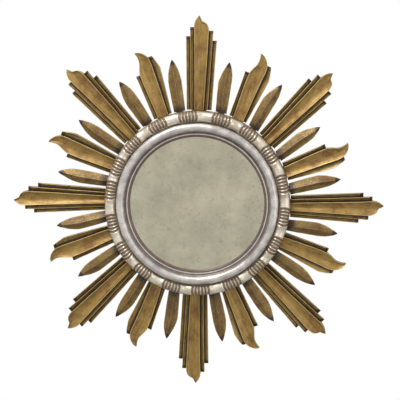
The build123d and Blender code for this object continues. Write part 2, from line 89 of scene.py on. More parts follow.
def smooth(at, knots, values):
    """Values along a smooth line through (knot, value) pairs, without any overshoot."""
    knots = np.asarray(knots, float)
    values = np.asarray(values, float)
    gaps = np.diff(knots)
    slopes = np.diff(values) / gaps
    tangents = np.zeros(len(knots))
    tangents[0] = slopes[0]
    tangents[-1] = slopes[-1]
    for i in range(1, len(knots) - 1):
        if slopes[i - 1] * slopes[i] > 0:
            tangents[i] = 2 / (1 / slopes[i - 1] + 1 / slopes[i])
    at = np.clip(np.asarray(at, float), knots[0], knots[-1])
    span = np.clip(np.searchsorted(knots, at, side="right") - 1, 0, len(gaps) - 1)
    u = (at - knots[span]) / gaps[span]
    rise = gaps[span]
    return (
        values[span] * (2 * u**3 - 3 * u**2 + 1)
        + tangents[span] * rise * (u**3 - 2 * u**2 + u)
        + values[span + 1] * (3 * u**2 - 2 * u**3)
        + tangents[span + 1] * rise * (u**3 - u**2)
    )


def share(start, end, part):
    return start + (end - start) * part


print("Half way up a curl:", float(smooth(1.5, (0, 1, 2, 3), (0.0, 0.4, 2.0, 2.2))))

# %% [markdown]
# ## How a ray is carved
#
# A long ray is a blade with lower steps beside it. Each is a strip: a wall, a sharp edge that
# the carver calls an arris, and a hollow that sinks towards the next, higher strip. Two strips
# meet in a dark valley. A strip is written down here by its two edges, its height, how deep
# its hollow is and where the hollow is deepest.
#
# Two things are kept for the paint: one is high where dark wax stays in a valley, with painted
# shade laid in the hollows and at the feet of walls; the other is high on the arrises that a
# duster rubs bright, and paints a highlight there too.

# %% Cut a ray across
ARRIS = 0.7                 # width of the rounded edge
STEP_COLUMNS = 6            # points across the hollow of a step
BLADE_COLUMNS = 15
FACET = 5.0                 # sloping cut at the end of a step
FACET_DROP = 0.5            # what is left of the height at its foot
VALLEY_START = 0.42         # share of a step's width where the dark wax and painted wall shadow begin
VALLEY_RUN = 0.38           # and the share over which it thickens
WALL_WAX_AND_SHADE = 0.75           # wax and painted shade on the wall under an arris


def arris_rows(reach, side, inward, height, wax_and_shade):
    """Three points round an edge, from its wall to its top; inward is +1 or -1."""
    # The wall under an arris is darkened by wax and painted shade; the arris is rubbed bright and carries a
    # painted highlight.
    return [
        (reach, side, height - ARRIS, WALL_WAX_AND_SHADE + wax_and_shade, 0.0),
        (reach, side + inward * 0.3 * ARRIS, height - 0.3 * ARRIS, wax_and_shade, 1.0),
        (reach, side + inward * ARRIS, height, wax_and_shade, 0.7),
    ]


def step_rows(edge_point, foot_point, height, dip, cut, wax_and_shade, ended):
    """A step from its outer arris inwards to the foot of the next strip's wall."""
    if ended:
        return [(*foot_point, 0.0, 1.0, 0.0)] * (3 + STEP_COLUMNS + 1)
    inward = 1 if foot_point[1] > edge_point[1] else -1
    rows = arris_rows(*edge_point, inward, min(height, cut), wax_and_shade)
    for part in np.linspace(0, 1, STEP_COLUMNS + 2)[1:]:
        reach = share(edge_point[0], foot_point[0], part)
        side = share(edge_point[1] + inward * ARRIS, foot_point[1], part)
        sunk = height - dip * math.sin(math.pi / 2 * part**0.7)
        # Towards the next strip's wall the step darkens: wax, and the painted shadow of that wall.
        dark = wax_and_shade + max(0.0, part - VALLEY_START) / VALLEY_RUN
        rows.append((reach, side, min(sunk, cut), dark, 0.25 * (1 - part)))
    return rows


def blade_rows(right, left, height, dip, valley, wax_and_shade):
    """The hollow blade between its two arrises; valley says where it is deepest."""
    rows = arris_rows(*right, 1, height, wax_and_shade)
    for part in np.linspace(0, 1, BLADE_COLUMNS + 2)[1:-1]:
        reach = share(right[0], left[0], part)
        side = share(right[1] + ARRIS, left[1] - ARRIS, part)
        if part < valley:
            fall = part / max(valley, 0.01)
        else:
            fall = (1 - part) / max(1 - valley, 0.01)
        sunk = height - dip * math.sin(math.pi / 2 * fall) ** 0.9
        # The deepest line of the hollow is a little darker: wax and painted shade.
        rows.append((reach, side, sunk, wax_and_shade + 0.25 * fall**3, 0.0))
    return rows + arris_rows(*left, -1, height, wax_and_shade)[::-1]


print("A blade is cut by", 6 + BLADE_COLUMNS, "points, a step by", 4 + STEP_COLUMNS)

# %% [markdown]
# ## From cuts to a body
#
# Blender's grid is a ready-made sheet of square faces. Each row of the grid is laid along one
# cut across the ray, and its last column closes on the first along the flat back, so the sheet
# becomes a tube. Cuts where a step has ended fold up to nothing and are merged away.
#
# Before the first cut comes the tongue: the same rows, pressed into the tongue's rectangle.
# A hand tool never cuts dead straight, so every point above the back moves a little.

# %% Bend a grid round the cuts
TOOL_MARK = 0.28            # how far the surface wanders


def tongue(cut_rows, reach, middle, width):
    """The rows of a cut pressed into the rectangle of the ray's tongue."""
    pressed = cut_rows.copy()
    pressed[:, 0] = reach
    pressed[:, 1] = np.clip(cut_rows[:, 1], middle - width / 2, middle + width / 2)
    pressed[:, 2] = np.minimum(cut_rows[:, 2], HEEL_THICKNESS)
    pressed[:, 3] = 0.5
    pressed[:, 4] = 0.0
    return pressed


def carve(name, angle, cuts, middle, tongue_width, seed):
    """One carved ray as a closed mesh object, standing in its place."""
    root = cuts[0]
    tongue_cuts = [tongue(root, reach, middle, tongue_width) for reach in (HEEL_START, ROOT)]
    table = np.stack(tongue_cuts + list(cuts))
    stations, columns, _ = table.shape
    bm = bmesh.new()
    wax_and_shade = bm.verts.layers.float.new("wax_and_shade")
    wear_and_highlight = bm.verts.layers.float.new("wear_and_highlight")
    grain = bm.verts.layers.float_vector.new("grain")
    bmesh.ops.create_grid(bm, x_segments=stations - 1, y_segments=columns, size=1.0)
    for vert in bm.verts:
        i = round((vert.co.x + 1) / 2 * (stations - 1))
        j = round((vert.co.y + 1) / 2 * columns) % columns
        reach, side, height, dark, rubbed = table[i, j]
        wander = noise.noise_vector(Vector((reach / 13, side / 5, seed)))
        ripple = noise.noise(Vector((reach / 4.5, side / 2.5, seed + 50)))
        if height > 0.5 and i > 1:
            side += wander.x * TOOL_MARK
            height += wander.y * TOOL_MARK + ripple * 0.12
        vert.co = on_wall(angle, reach, side, height)
        vert[wax_and_shade] = min(max(dark, 0.0), 1.0)
        vert[wear_and_highlight] = rubbed
        vert[grain] = (reach * MM, side * MM, seed * 0.1)
    bmesh.ops.remove_doubles(bm, verts=bm.verts, dist=0.02 * MM)
    bmesh.ops.dissolve_degenerate(bm, edges=bm.edges, dist=0.01 * MM)
    open_edges = [edge for edge in bm.edges if edge.is_boundary]
    bmesh.ops.holes_fill(bm, edges=open_edges)
    bmesh.ops.recalc_face_normals(bm, faces=bm.faces)
    return finish_mesh(name, bm)


def finish_mesh(name, bm, sharp_degrees=40):
    """Writes the bmesh to an object at the origin and lets only sharp edges crease."""
    mesh = bpy.data.meshes.new(name)
    bm.to_mesh(mesh)
    bm.free()
    mesh.shade_smooth()
    mesh.set_sharp_from_angle(angle=math.radians(sharp_degrees))
    piece = bpy.data.objects.new(name, mesh)
    bpy.context.scene.collection.objects.link(piece)
    return piece


# %% [markdown]
# ## Long rays
#
# Eight long rays point up, down, sideways and between. The blade's right half is cut short
# into a round shoulder, and only its left half runs on to the point, so each point leans
# anticlockwise. That shoulder is why the deepest line of the hollow runs out to the right.

# %% Long rays
LONG_AXIS = 89.5
LONG_ROOT_HALVES = (7.4, 13.9, 20.4)
LONG_SHOULDER_HALVES = (13.4, 21.3, 29.0)
LONG_SHOULDER = 316.0
LONG_POINT = 350.0
LONG_SHIFT = -0.4
LONG_HEIGHTS = (14.0, 10.5, 7.0)
LONG_DIPS = (4.9, 3.4, 2.8)
LONG_ENDS = {1: (328.4, 311.5), -1: (322.3, 304.2)}
LONG_TIP = (
    # travel, right edge (reach, side), left edge (reach, side), height, dip, valley
    (322.0, 322.0, -13.8, 322.0, 13.6, 13.2, 4.7, 0.50),
    (329.5, 328.6, -12.7, 329.5, 14.0, 12.9, 4.5, 0.46),
    (334.5, 333.2, -10.6, 334.5, 13.4, 12.6, 4.2, 0.38),
    (338.5, 337.0, -6.4, 338.6, 12.2, 12.2, 3.8, 0.24),
    (341.5, 339.8, -0.9, 341.8, 10.7, 11.8, 3.2, 0.06),
    (345.5, 344.6, 1.7, 345.6, 8.4, 10.6, 1.8, 0.03),
    (350.0, 349.7, 4.2, 349.8, 5.0, 8.4, 0.1, 0.03),
)
LONG_ROOT_SHIFTS = (1.0, -3.9, -1.3, -2.0, -0.5, -2.7, -1.7, 1.0)
LONG_ROOT_SPREADS = (1.14, 1.00, 1.00, 1.00, 1.16, 1.02, 1.00, 1.04)
LONG_LEANS = (0.1, -0.2, -0.1, -0.1, 0.0, 0.1, 0.1, 0.2)
LONG_TONGUE = 27.0
CUT_PITCH = 1.7


def stations(start, end, marks):
    """Places of the cuts: even ones, and two together wherever a step ends."""
    even = list(np.arange(start, end, CUT_PITCH))
    tip = list(np.linspace(end - 14, end, 16))
    placed = [at for at in even if at < end - 15] + tip
    for mark in marks:
        placed = [at for at in placed if not mark - FACET - 0.6 < at < mark + 0.6]
        placed += list(np.linspace(mark - FACET, mark, 5)) + [mark + 0.001]
    return sorted(placed)


def facet_cut(at, end, height):
    """The sloping cut that takes a step down to its end."""
    return share(height * (1 - FACET_DROP), height, min(1.0, (end - at) / FACET))


def end_wax_and_shade(at, end):
    """Dark wax sits on the end cut, with painted shade on it too."""
    return 0.75 if end - FACET - 0.1 <= at <= end + 0.1 else 0.0


def long_cuts(shift, spread):
    tip = np.array(LONG_TIP)

    def side_at(which, hand, at):
        part = (at - ROOT) / (LONG_SHOULDER - ROOT)
        start = shift + hand * LONG_ROOT_HALVES[which] * spread
        return share(start, LONG_SHIFT + hand * LONG_SHOULDER_HALVES[which], part)

    def blade_at(at):
        knots = [ROOT, LONG_SHOULDER - 8, *tip[:, 0]]
        columns = []
        for column, hand in ((1, -1), (3, 1)):
            reaches = [knots[0], knots[1], *tip[:, column]]
            sides = [side_at(0, hand, knots[0]), side_at(0, hand, knots[1]), *tip[:, column + 1]]
            columns.append((float(smooth(at, knots, reaches)), float(smooth(at, knots, sides))))
        rest = [
            float(smooth(at, knots, [start, start, *tip[:, column]]))
            for column, start in ((5, LONG_HEIGHTS[0]), (6, LONG_DIPS[0]), (7, 0.5))
        ]
        return columns[0], columns[1], *rest

    ends = [end for pair in LONG_ENDS.values() for end in pair]
    cuts = []
    for at in stations(ROOT, LONG_POINT, ends):
        right, left, height, dip, valley = blade_at(at)
        tip_grime = 0.35 * max(0.0, (at - 340) / 10)
        rows = []
        for which in (2, 1):
            end = LONG_ENDS[-1][which - 1]
            gone = at > end
            edge_point = (at, side_at(which, -1, at))
            inner_gone = at > LONG_ENDS[-1][0]
            foot = right if which == 1 or inner_gone else (at, side_at(1, -1, at))
            cut = facet_cut(at, end, LONG_HEIGHTS[which])
            strip = step_rows(
                edge_point, foot, LONG_HEIGHTS[which], LONG_DIPS[which], cut, end_wax_and_shade(at, end), gone
            )
            # The foot of the outer wall is dark: wax and painted shade against the back.
            if which == 2:
                rows.append((strip[0][0], strip[0][1], 0.0, 0.9, 0.0))
            rows += strip
        rows += blade_rows(right, left, height, dip, valley, tip_grime)
        for which in (1, 2):
            end = LONG_ENDS[1][which - 1]
            gone = at > end
            edge_point = (at, side_at(which, 1, at))
            inner_gone = at > LONG_ENDS[1][0]
            foot = left if which == 1 or inner_gone else (at, side_at(1, 1, at))
            cut = facet_cut(at, end, LONG_HEIGHTS[which])
            strip = step_rows(
                edge_point, foot, LONG_HEIGHTS[which], LONG_DIPS[which], cut, end_wax_and_shade(at, end), gone
            )
            rows += strip[::-1]
            if which == 2:
                rows.append((strip[0][0], strip[0][1], 0.0, 0.9, 0.0))
        cuts.append(np.array(rows))
    return cuts


rays = []
for number in range(RAY_SETS):
    angle = LONG_AXIS - STEP_ANGLE * number + LONG_LEANS[number]
    cuts = long_cuts(LONG_ROOT_SHIFTS[number], LONG_ROOT_SPREADS[number])
    piece = carve(
        f"carved_long_ray_{number + 1}", angle, cuts, LONG_ROOT_SHIFTS[number], LONG_TONGUE, number + 1
    )
    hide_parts(f"long_ray_{number + 1}")
    rays.append(piece)
print("Long rays carved:", len(rays), "with", len(rays[0].data.polygons), "faces each")

# %% [markdown]
# ## Flame rays
#
# Between two long rays stands a flame: a blade whose whole point curls anticlockwise, with one
# step on each side. The cuts turn with the curl, so that they stay square to it.

# %% Flame rays
FLAME_AXIS = 66.3
FLAME_SHOULDER = 262.0
FLAME_POINT = 304.0
FLAME_STEP_HEIGHT = 8.5
FLAME_STEP_DIP = 3.2
FLAME_RIGHT_STEP = (-17.2, -24.2)       # outer edge at the root and at the shoulder
FLAME_LEFT_STEP = (17.6, 24.0)
FLAME_RIGHT_END = 283.0
FLAME_DRAW_IN = 7.6         # how far the clockwise step narrows to its end
FLAME_LEFT_END = 262.0
FLAME_BLADE = (
    # travel, right edge (reach, side), left edge (reach, side), height, dip, valley
    (ROOT, ROOT, -11.0, ROOT, 9.6, 13.0, 4.2, 0.50),
    (262.0, 262.0, -11.5, 262.0, 16.0, 12.6, 4.6, 0.50),
    (270.0, 271.5, -11.7, 268.6, 14.4, 12.4, 4.5, 0.50),
    (277.0, 281.0, -11.0, 274.6, 12.4, 12.1, 4.3, 0.50),
    (284.0, 289.2, -8.6, 280.4, 10.0, 11.7, 3.9, 0.52),
    (291.0, 296.2, -3.4, 287.2, 8.6, 11.0, 3.2, 0.56),
    (297.0, 300.6, 2.0, 293.6, 9.0, 10.2, 2.3, 0.60),
    (301.0, 302.8, 6.8, 299.2, 10.4, 9.3, 1.0, 0.60),
    (304.0, 303.4, 11.0, 303.0, 11.8, 8.2, 0.1, 0.60),
)
FLAME_ROOT_SHIFTS = (-1.4, 0.1, 0.0, 0.0, -3.0, 0.0, 0.0, 3.0)
FLAME_LEANS = (-0.4, -0.5, 0.3, 0.4, -0.4, -0.1, 0.4, 0.3)
FLAME_TONGUE = 22.0


def flame_cuts(shift):
    blade = np.array(FLAME_BLADE)
    blade[0, 2] += shift
    blade[0, 4] += shift

    def lane(column, at):
        return float(smooth(at, blade[:, 0], blade[:, column]))

    cuts = []
    for at in stations(ROOT, FLAME_POINT, (FLAME_LEFT_END, FLAME_RIGHT_END)):
        part = (at - ROOT) / (FLAME_SHOULDER - ROOT)
        right = (lane(1, at), lane(2, at))
        left = (lane(3, at), lane(4, at))
        outer_right = share(FLAME_RIGHT_STEP[0] + shift, FLAME_RIGHT_STEP[1], min(part, 1.0))
        drawn_in = max(0.0, (at - FLAME_SHOULDER) / (FLAME_RIGHT_END - FLAME_SHOULDER))
        outer_right += FLAME_DRAW_IN * drawn_in**1.3
        outer_left = share(FLAME_LEFT_STEP[0] + shift, FLAME_LEFT_STEP[1], part)
        rows = []
        steps = ((-1, FLAME_RIGHT_END, outer_right, right), (1, FLAME_LEFT_END, outer_left, left))
        for hand, end, outer, foot in steps:
            cut = facet_cut(at, end, FLAME_STEP_HEIGHT)
            strip = step_rows(
                (foot[0], outer), foot, FLAME_STEP_HEIGHT, FLAME_STEP_DIP, cut, end_wax_and_shade(at, end), at > end
            )
            # The foot of the outer wall is dark: wax and painted shade against the back.
            wall_foot = (strip[0][0], strip[0][1], 0.0, 0.9, 0.0)
            if hand < 0:
                hollow = blade_rows(right, left, lane(5, at), lane(6, at), lane(7, at), 0.0)
                rows += [wall_foot] + strip + hollow
            else:
                rows += strip[::-1] + [wall_foot]
        cuts.append(np.array(rows))
    return cuts


for number in range(RAY_SETS):
    angle = FLAME_AXIS - STEP_ANGLE * number + FLAME_LEANS[number]
    shift = FLAME_ROOT_SHIFTS[number]
    piece = carve(
        f"carved_flame_ray_{number + 1}", angle, flame_cuts(shift), shift, FLAME_TONGUE, number + 11
    )
    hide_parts(f"flame_ray_{number + 1}")
    rays.append(piece)
print("Flame rays carved, rays so far:", len(rays))

# %% [markdown]
# ## Leaf rays
#
# A plain leaf fills each gap. Two gently hollow facets rise from its edges to a ridge, and
# dark wax sits at the point. Leaves and their twins differ a little in width and length.

# %% Leaf rays
LEAF_AXIS = 78.4
TWIN_AXIS = 55.8
LEAF_REACHES = {"leaf": 270.2, "twin_leaf": 272.2}
LEAF_BACK = (95.0, 65.0, 42.0, 25.0, 12.5, 4.5, 0.0)        # back from the point
LEAF_RIGHT = {
    "leaf": (-10.4, -12.2, -12.8, -11.2, -7.4, -3.6, -0.4),
    "twin_leaf": (-10.6, -10.9, -10.8, -9.2, -6.0, -2.9, -0.4),
}
LEAF_LEFT = {
    "leaf": (10.4, 11.6, 12.0, 9.6, 5.6, 2.6, 0.4),
    "twin_leaf": (10.6, 13.0, 13.8, 11.2, 6.8, 3.2, 0.4),
}
LEAF_RIDGE = (10.5, 11.3, 11.6, 11.0, 9.6, 8.0, 7.0)
LEAF_EDGE = (5.0, 5.0, 5.0, 5.0, 5.2, 5.6, 6.2)
LEAF_SHIFTS = {
    "leaf": (-5.5, -5.5, -4.6, -2.5, -6.0, -4.0, -3.0, -1.7),
    "twin_leaf": (-4.0, -2.5, 1.0, 0.5, -2.0, -2.5, 0.5, 2.5),
}
LEAF_LEANS = {
    "leaf": (-0.2, -0.4, 0.2, 0.1, -0.2, -0.3, 0.3, 0.4),
    "twin_leaf": (-0.2, -0.3, 0.1, 0.2, -0.2, -0.2, 0.4, 0.3),
}
LEAF_TONGUE = 13.0
LEAF_COLUMNS = 9            # points across one facet
LEAF_WAX = 0.42             # the leaves were waxed darker, most of all along the ridge


def leaf_cuts(kind, shift):
    reach = LEAF_REACHES[kind]
    travel = [reach - back for back in LEAF_BACK]
    travel[0] = ROOT
    belly = LEAF_BACK[2]
    cuts = []
    for at in stations(ROOT, reach, ()):
        right = float(smooth(at, travel, LEAF_RIGHT[kind]))
        left = float(smooth(at, travel, LEAF_LEFT[kind]))
        ridge = float(smooth(at, travel, LEAF_RIDGE))
        edge = float(smooth(at, travel, LEAF_EDGE))
        lean = shift * max(0.0, reach - at - belly) / (LEAF_BACK[0] - belly)
        # Wax darkens the point; near the root and at the foot of the edges, wax and painted shade darken the
        # leaf.
        dark = max(0.0, 1 - (reach - at) / 11) ** 0.8 + 0.5 * max(0.0, 1 - (at - ROOT) / 14)
        rows = [(at, right + lean, 0.0, 0.9, 0.0)]
        parts = np.linspace(-1, 1, 2 * LEAF_COLUMNS + 1)
        for part in parts:
            middle = (right + left) / 2
            side = share(middle, left if part > 0 else right, abs(part)) + lean
            up = 1 - abs(part)
            height = share(edge, ridge, up) - 0.5 * math.sin(math.pi * up) * min(1.0, (reach - at) / 20)
            # The edges and the ridge are rubbed bright and carry a painted highlight.
            rubbed = 0.8 if abs(part) > 0.99 else 0.6 * max(0.0, 1 - abs(part) / 0.1)
            rows.append((at, side, height, dark + LEAF_WAX * (0.6 + 0.4 * up), rubbed))
        rows.append((at, left + lean, 0.0, 0.9, 0.0))
        cuts.append(np.array(rows))
    return cuts


for kind, axis in (("leaf", LEAF_AXIS), ("twin_leaf", TWIN_AXIS)):
    for number in range(RAY_SETS):
        angle = axis - STEP_ANGLE * number + LEAF_LEANS[kind][number]
        shift = LEAF_SHIFTS[kind][number]
        name = f"{kind}_ray_{number + 1}"
        seed = number + (21 if kind == "leaf" else 31)
        piece = carve(f"carved_{name}", angle, leaf_cuts(kind, shift), shift, LEAF_TONGUE, seed)
        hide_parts(name)
        rays.append(piece)
print("All rays carved:", len(rays))

# %% [markdown]
# ## Turned rings
#
# The moulding and the band start on a lathe, so both start here as half an outline that is
# spun round the depth axis. `at_ring` writes an outline point by its radius and its height
# above the plain ring, and `arc` rounds an outline between three points.

# %% Outline helpers


def at_ring(radius, height):
    return Vector((radius * MM, -(SEAT + height) * MM, 0.0))


def arc(start, top, end, count):
    """Points (radius, height) on the circle through three points, the first one left out."""
    (ax, ay), (bx, by), (cx, cy) = start, top, end
    d = 2 * (ax * (by - cy) + bx * (cy - ay) + cx * (ay - by))
    a2, b2, c2 = ax**2 + ay**2, bx**2 + by**2, cx**2 + cy**2
    ux = (a2 * (by - cy) + b2 * (cy - ay) + c2 * (ay - by)) / d
    uy = (a2 * (cx - bx) + b2 * (ax - cx) + c2 * (bx - ax)) / d
    radius = math.hypot(ax - ux, ay - uy)
    first = math.atan2(ay - uy, ax - ux)
    middle = math.atan2(by - uy, bx - ux)
    last = math.atan2(cy - uy, cx - ux)
    while middle < first:
        middle += 2 * math.pi
    while last < first:
        last += 2 * math.pi
    if middle > last:
        last -= 2 * math.pi
    angles = np.linspace(first, last, count + 1)[1:]
    return [(ux + radius * math.cos(a), uy + radius * math.sin(a)) for a in angles]


def spun(outline, steps):
    """A bmesh ring: the closed outline spun full circle."""
    bm = bmesh.new()
    verts = [bm.verts.new(at_ring(*point)) for point in outline]
    edges = [bm.edges.new((verts[i - 1], verts[i])) for i in range(len(verts))]
    bmesh.ops.spin(
        bm, geom=verts + edges, cent=(0, 0, 0), axis=(0, 1, 0), dvec=(0, 0, 0),
        angle=2 * math.pi, steps=steps, use_merge=True, use_duplicate=False, use_normal_flip=False,
    )
    bmesh.ops.recalc_face_normals(bm, faces=bm.faces)
    return bm


# %% [markdown]
# ## Silvered moulding
#
# From the outside in: a big round, a slope, a flat fillet between two quirks and a bead at the
# glass. Silver leaf lies over red-brown clay, called bole, which shows where the leaf is rubbed.

# %% Silvered moulding
MOULDING = 152.0
REBATE = 131.6
ROUND_FOOT = (136.2, 15.0)
SLOPE_FOOT = (133.8, 11.2)
QUIRK_FLOOR = 10.7
FILLET_TOP = 12.0
FILLET = (132.9, 130.5)
BEAD_START = 129.6

outline = [(REBATE, 0.0), (MOULDING, 0.0), (MOULDING, 6.0), (MOULDING, 11.0)]
outline += arc((MOULDING, 11.0), (143.8, 22.0), ROUND_FOOT, 26)
outline += [(135.0, 12.9), SLOPE_FOOT, (SLOPE_FOOT[0], QUIRK_FLOOR), (FILLET[0], QUIRK_FLOOR)]
outline += [(FILLET[0], FILLET_TOP - 0.25), (FILLET[0] - 0.25, FILLET_TOP), (FILLET[1] + 0.25, FILLET_TOP)]
outline += [(FILLET[1], FILLET_TOP - 0.25), (FILLET[1], QUIRK_FLOOR), (BEAD_START, QUIRK_FLOOR)]
outline += arc((BEAD_START, QUIRK_FLOOR), (127.8, 10.55), (SIGHT, 8.6), 8)
outline += [(SIGHT, 6.0), (REBATE, 6.0)]
bm = spun(outline, 360)
wax_and_shade = bm.verts.layers.float.new("wax_and_shade")
wear_and_highlight = bm.verts.layers.float.new("wear_and_highlight")
for vert in bm.verts:
    radius = math.hypot(vert.co.x, vert.co.z) / MM
    height = -vert.co.y / MM - SEAT
    turn = math.atan2(vert.co.z, vert.co.x)
    if height > 1:
        sway = noise.noise(Vector((math.cos(turn) * 3, math.sin(turn) * 3, radius / 6)))
        vert.co.y += 0.08 * (1 + sway) * MM
    # Wax and painted shade fill the quirks, the foot of the round and the outer wall by the band.
    in_quirk = height < QUIRK_FLOOR + 0.3 and radius < 134.5 and height > 8
    wax_and_shade_radii = (126, 128, 133, 136.3, 138.5, 150.5, 152)
    wax_and_shade_amounts = (0.1, 0, 0.6, 0.75, 0.05, 0.1, 0.5)
    vert[wax_and_shade] = 1.0 if in_quirk else float(np.interp(radius, wax_and_shade_radii, wax_and_shade_amounts))
    # The fillet top and the crest of the round are rubbed and carry a painted highlight.
    on_crest = abs(radius - 144) < 3.5
    vert[wear_and_highlight] = 1.0 if height > FILLET_TOP - 0.1 and radius < 133 else 0.6 * on_crest
moulding = finish_mesh("turned_sight_moulding", bm, 35)
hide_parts("sight_moulding")
print("Moulding turned:", len(moulding.data.polygons), "faces")

# %% [markdown]
# ## Carved band
#
# The band is a half-round. Eighteen groups of gouge cuts run across it, and a plain hollow
# separates two groups. After the spin each point is sunk by the depth of the cut that it
# lies in. The cuts of a group bow outwards like brackets, because they are cut round the crest.

# %% Carved band
BAND_INNER = 152.5
BAND_OUTER = 174.5
BAND_WALL = 9.5
BAND_CREST = 18.0
GROUPS = 18
FIRST_GROUP = 15.0
GROUP_DRIFT = (
    -0.3, 0.7, 0.0, 0.0, 1.7, 2.3, 3.3, 0.7, -3.2,
    -1.0, -1.3, -2.7, -1.3, -1.7, -0.3, -1.0, -2.0, -2.0,
)
CUTS = 6                    # gouge cuts in a group
GROUP_HALF = 6.6            # degrees from the middle of a group to its last cut
CUT_DEPTH = 1.6
HOLLOW_DEPTH = 1.8
BAND_STEPS = 1800

group_angles = [FIRST_GROUP + 360 / GROUPS * g + GROUP_DRIFT[g] for g in range(GROUPS)]
outline = [(BAND_INNER, 0.0), (BAND_OUTER, 0.0), (BAND_OUTER, 5.0), (BAND_OUTER, BAND_WALL)]
middle_radius = (BAND_INNER + BAND_OUTER) / 2
outline += arc((BAND_OUTER, BAND_WALL), (middle_radius, BAND_CREST), (BAND_INNER, BAND_WALL), 18)
bm = spun(outline, BAND_STEPS)
wax_and_shade = bm.verts.layers.float.new("wax_and_shade")
wear_and_highlight = bm.verts.layers.float.new("wear_and_highlight")
plain = bm.verts.layers.float.new("plain")
for vert in bm.verts:
    radius = math.hypot(vert.co.x, vert.co.z) / MM
    height = -vert.co.y / MM - SEAT
    across = (radius - middle_radius) / ((BAND_OUTER - BAND_INNER) / 2)
    turn = math.degrees(math.atan2(vert.co.z, vert.co.x))
    offsets = [(turn - a + 180) % 360 - 180 for a in group_angles]
    offset = min(offsets, key=abs)
    half = GROUP_HALF * (1 - 0.16 * across**2)
    # The outer wall below the round is fully dark: wax and painted shade.
    if height < BAND_WALL - 0.5:
        vert[wax_and_shade] = 1.0
        continue
    outward = Vector((vert.co.x, 0, vert.co.z)).normalized()
    lean = across * 0.75
    normal = (outward * lean + Vector((0, -1, 0)) * math.sqrt(1 - lean**2)).normalized()
    if abs(offset) < half:
        place = (offset / half + 1) / 2 * CUTS
        u = 2 * (place - math.floor(place)) - 1
        fade = min(1.0, max(0.0, (across + 0.95) / 0.22))
        depth = CUT_DEPTH * (1 - u * u) ** 0.8 * fade
        # Wax and painted shade darken the bottom of each gouge cut; the ridges between cuts are rubbed and
        # carry a painted highlight.
        vert[wax_and_shade] = min(1.0, 0.15 + 1.0 * (1 - u * u) * fade)
        vert[wear_and_highlight] = max(0.0, abs(u) - 0.75) / 0.25
    else:
        gap = 10 - half
        u = min(1.0, (abs(offset) - half) / gap)
        depth = HOLLOW_DEPTH * math.sin(math.pi / 2 * u) ** 1.2 * (1 - 0.5 * across**2)
        # Wax and painted shade at the edge of a hollow, next to its cuts.
        vert[wax_and_shade] = 0.5 * max(0.0, 1 - u / 0.12)
        vert[plain] = 1.0
    # Painted shade, with wax, where the band meets the moulding and at its outer rim.
    edge = max(0.0, abs(across) - 0.9) / 0.1
    vert[wax_and_shade] = max(vert[wax_and_shade], edge * (0.4 if across < 0 else 1.0))
    vert.co -= normal * depth * MM
band = finish_mesh("gouged_band", bm, 50)
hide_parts("carved_band")
print("Band carved:", len(band.data.polygons), "faces")

# %% [markdown]
# ## Finishes
#
# Every finish is built from what the real one is. Two helpers do the wiring: one turns a hex
# colour, as a paint chart gives it, into the linear colour that Blender reckons with, and one
# adds a node with its settings and links.

# %% Helpers for finishes


def paint(hex_code):
    """A #RRGGBB colour as linear RGBA."""
    channels = [int(hex_code[i:i + 2], 16) / 255 for i in (1, 3, 5)]
    linear = [c / 12.92 if c <= 0.04045 else ((c + 0.055) / 1.055) ** 2.4 for c in channels]
    return (*linear, 1.0)


def add(tree, kind, inputs=None, **settings):
    """Adds one node: settings are its own fields, inputs are values or other nodes' sockets."""
    node = tree.nodes.new(kind)
    for field, value in settings.items():
        setattr(node, field, value)
    for socket, value in (inputs or {}).items():
        if isinstance(value, bpy.types.NodeSocket):
            tree.links.new(value, node.inputs[socket])
        else:
            node.inputs[socket].default_value = value
    return node


def finish(name):
    """A new material with an empty tree, its shader and its output."""
    material = bpy.data.materials.new(name)
    material.use_nodes = True
    tree = material.node_tree
    tree.nodes.clear()
    shader = add(tree, "ShaderNodeBsdfPrincipled")
    output = add(tree, "ShaderNodeOutputMaterial")
    tree.links.new(shader.outputs["BSDF"], output.inputs["Surface"])
    return material, tree, shader


def blend_colour(tree, factor, first, second):
    """The colour that lies factor of the way from first to second."""
    mix = add(tree, "ShaderNodeMix", {"Factor": factor}, data_type="RGBA")
    for slot, value in ((6, first), (7, second)):
        if isinstance(value, bpy.types.NodeSocket):
            tree.links.new(value, mix.inputs[slot])
        else:
            mix.inputs[slot].default_value = value
    return mix.outputs[2]


def stretch(tree, value, low, high, bottom=0.0, top=1.0):
    """Spreads low..high over bottom..top and clamps it."""
    node = add(
        tree, "ShaderNodeMapRange",
        {"Value": value, "From Min": low, "From Max": high, "To Min": bottom, "To Max": top},
    )
    return node.outputs["Result"]


def cells_per_metre(size_mm):
    """Texture scale for a pattern whose marks are this many millimetres apart."""
    return 1000 / size_mm


def mottle(tree, place, size_mm, detail, roughness=0.5):
    """Cloudy noise whose marks are this many millimetres apart."""
    inputs = {"Vector": place, "Scale": cells_per_metre(size_mm), "Detail": detail, "Roughness": roughness}
    return add(tree, "ShaderNodeTexNoise", inputs).outputs["Fac"]


def dents(tree, height, strength, depth_mm):
    """A normal that makes the pattern look pressed in by this many millimetres."""
    inputs = {"Height": height, "Strength": strength, "Distance": depth_mm * MM}
    return add(tree, "ShaderNodeBump", inputs).outputs["Normal"]


print("Gold leaf as linear colour:", paint("#B8934A"))
